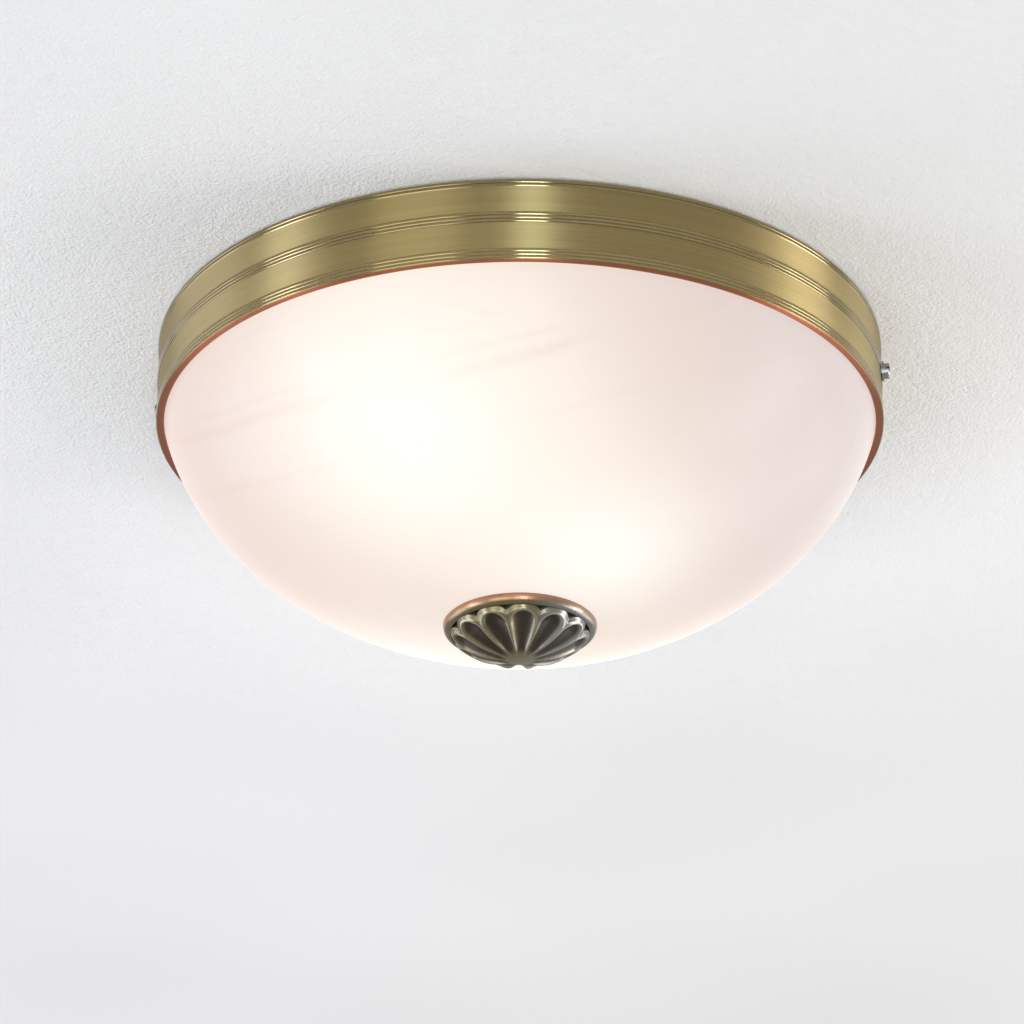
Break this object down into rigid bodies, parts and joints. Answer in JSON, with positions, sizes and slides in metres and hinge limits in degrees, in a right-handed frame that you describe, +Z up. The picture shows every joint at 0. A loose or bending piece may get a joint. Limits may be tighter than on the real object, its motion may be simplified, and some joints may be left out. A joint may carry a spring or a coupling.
{
  "type": "flush mount ceiling light",
  "caption": "Flush ceiling light: reeded brass trim ring, veined glass bowl and fluted rosette over a ceiling pan with lampholders, bulbs, terminal block and side screws.",
  "frame": {"origin": "middle of the ceiling face of the pan, which is also the centre of the two fixing slots", "axes": "+Z up into the ceiling, the two side screws and the fixing slots lie along X, the lamp is pictured from the -Y side and below"},
  "size_m": [0.3276, 0.3206, 0.1475],
  "materials": {
    "trim_ring": "brushed",
    "rosette": "antique, dark in the hollows",
    "pan_white": "smooth white",
    "zinc_steel": "zinc plated",
    "nickel": "nickel plated",
    "alabaster_glass": "frosted, faint veins",
    "bulb_glass": "frosted",
    "bulb_metal": "plain",
    "insulator_black": "glassy black",
    "solder": "dull",
    "porcelain": "glazed white",
    "brass_plain": "plain",
    "rubber_black": "matte",
    "gasket_felt": "pale, soft",
    "block_plastic": "plain",
    "lead_brown": "plain",
    "lead_blue": "plain"
  },
  "bodies": {
    "base": {"block_screw": "zinc_steel", "bracket_rivet_1": "zinc_steel", "bracket_rivet_2": "zinc_steel", "cable_grommet": "rubber_black", "ceiling_pan": "pan_white", "clamp_screw_1": "zinc_steel", "clamp_screw_2": "zinc_steel", "clamp_screw_3": "zinc_steel", "clamp_screw_4": "zinc_steel", "earth_screw": "brass_plain", "earth_washer": "brass_plain", "holder_body_1": "porcelain", "holder_body_2": "porcelain", "holder_screw_1": "zinc_steel", "holder_screw_2": "zinc_steel", "holder_shell_1": "brass_plain", "holder_shell_2": "brass_plain", "holder_tongue_1": "brass_plain", "holder_tongue_2": "brass_plain", "lamp_bracket": "zinc_steel", "lead_far_1": "lead_blue", "lead_far_2": "lead_brown", "lead_near_1": "lead_brown", "lead_near_2": "lead_blue", "terminal_block": "block_plastic"},
    "shade": {"glass_bowl": "alabaster_glass", "glass_clip_1": "zinc_steel", "glass_clip_2": "zinc_steel", "glass_clip_3": "zinc_steel", "glass_gasket": "gasket_felt", "plate_washer": "zinc_steel", "ring_nut_1": "zinc_steel", "ring_nut_2": "zinc_steel", "rosette": "rosette", "rosette_nut": "zinc_steel", "rosette_stud": "zinc_steel", "rubber_washer_inside": "rubber_black", "rubber_washer_outside": "rubber_black", "trim_ring": "trim_ring"},
    "side_washer_1": {"side_washer_1": "nickel"},
    "side_screw_1": {"side_screw_1": "nickel"},
    "bulb_1": {"bulb_tip_1": "solder", "bulb_insulator_1": "insulator_black", "bulb_cap_1": "bulb_metal", "bulb_globe_1": "bulb_glass"},
    "side_washer_2": {"side_washer_2": "nickel"},
    "side_screw_2": {"side_screw_2": "nickel"},
    "bulb_2": {"bulb_tip_2": "solder", "bulb_insulator_2": "insulator_black", "bulb_cap_2": "bulb_metal", "bulb_globe_2": "bulb_glass"}
  },
  "joints": [
    {"name": "shade_drop", "type": "slide", "parent": "base", "child": "shade", "axis": [0, 0, -1], "range_m": [0, 0.1]},
    {"name": "side_screw_1_out", "type": "slide", "parent": "shade", "child": "side_washer_1", "axis": [1, 0, 0], "range_m": [0, 0.00728]},
    {"name": "side_screw_1_turn", "type": "hinge", "parent": "side_washer_1", "child": "side_screw_1", "pos_m": [0.1612, 0, -0.0173], "axis": [1, 0, 0], "range_deg": [0, 3745]},
    {"name": "side_screw_2_out", "type": "slide", "parent": "shade", "child": "side_washer_2", "axis": [-1, 0, 0], "range_m": [0, 0.00728]},
    {"name": "side_screw_2_turn", "type": "hinge", "parent": "side_washer_2", "child": "side_screw_2", "pos_m": [-0.1612, 0, -0.0173], "axis": [-1, 0, 0], "range_deg": [0, 3745]},
    {"name": "bulb_1_out", "type": "slide", "parent": "base", "child": "bulb_1", "axis": [0.4096, 0.7094, -0.5736], "range_m": [0, 0.017]},
    {"name": "bulb_2_out", "type": "slide", "parent": "base", "child": "bulb_2", "axis": [-0.4096, -0.7094, -0.5736], "range_m": [0, 0.017]}
  ],
  "couplings": [
    {"joint": "side_screw_1_turn", "follows": "side_screw_1_out", "rad_per_m": 8976},
    {"joint": "side_screw_2_turn", "follows": "side_screw_2_out", "rad_per_m": 8976}
  ]
}
